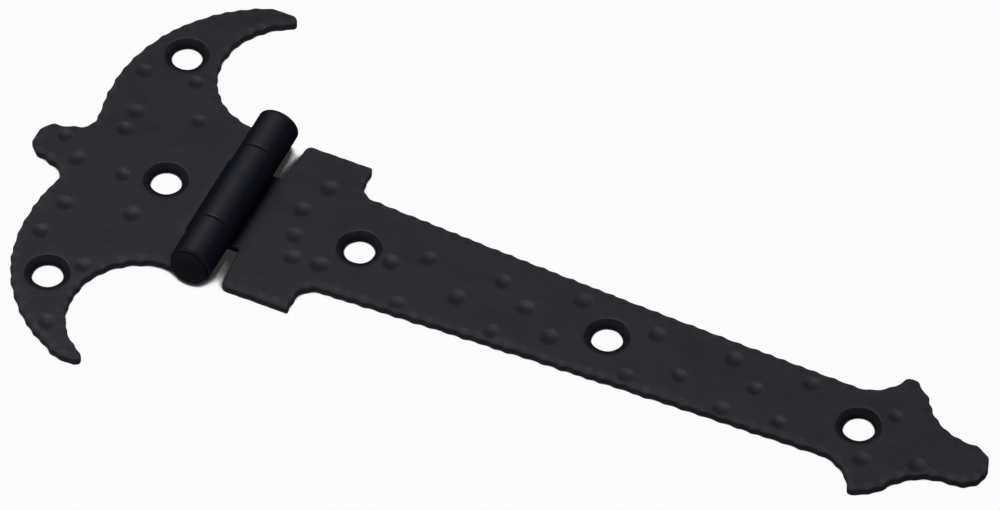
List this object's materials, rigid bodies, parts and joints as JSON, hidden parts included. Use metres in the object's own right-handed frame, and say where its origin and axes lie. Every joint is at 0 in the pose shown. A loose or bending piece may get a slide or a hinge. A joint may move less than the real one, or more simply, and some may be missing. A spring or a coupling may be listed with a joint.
{
  "type": "decorative hinge",
  "caption": "Decorative strap hinge: a crescent leaf and a long arrow-headed strap turn on a headed pin through rolled knuckles.",
  "frame": {"origin": "on the hinge line, at the middle of the barrel, in the plane of both leaves' backs", "axes": "+X from the pin along the strap leaf, +Y along the pin towards its riveted end, +Z out of the face"},
  "size_m": [0.1597, 0.077, 0.0068],
  "materials": {
    "leaf_paint": "satin black",
    "pin_paint": "satin black"
  },
  "bodies": {
    "frame_side": {"crescent_leaf": "leaf_paint", "hinge_pin": "pin_paint"},
    "door_side": {"strap_leaf": "leaf_paint"}
  },
  "joints": [
    {"name": "fold", "type": "hinge", "parent": "frame_side", "child": "door_side", "pos_m": [0, 0, 0.0034], "axis": [0, -1, 0], "range_deg": [-105, 180]}
  ]
}
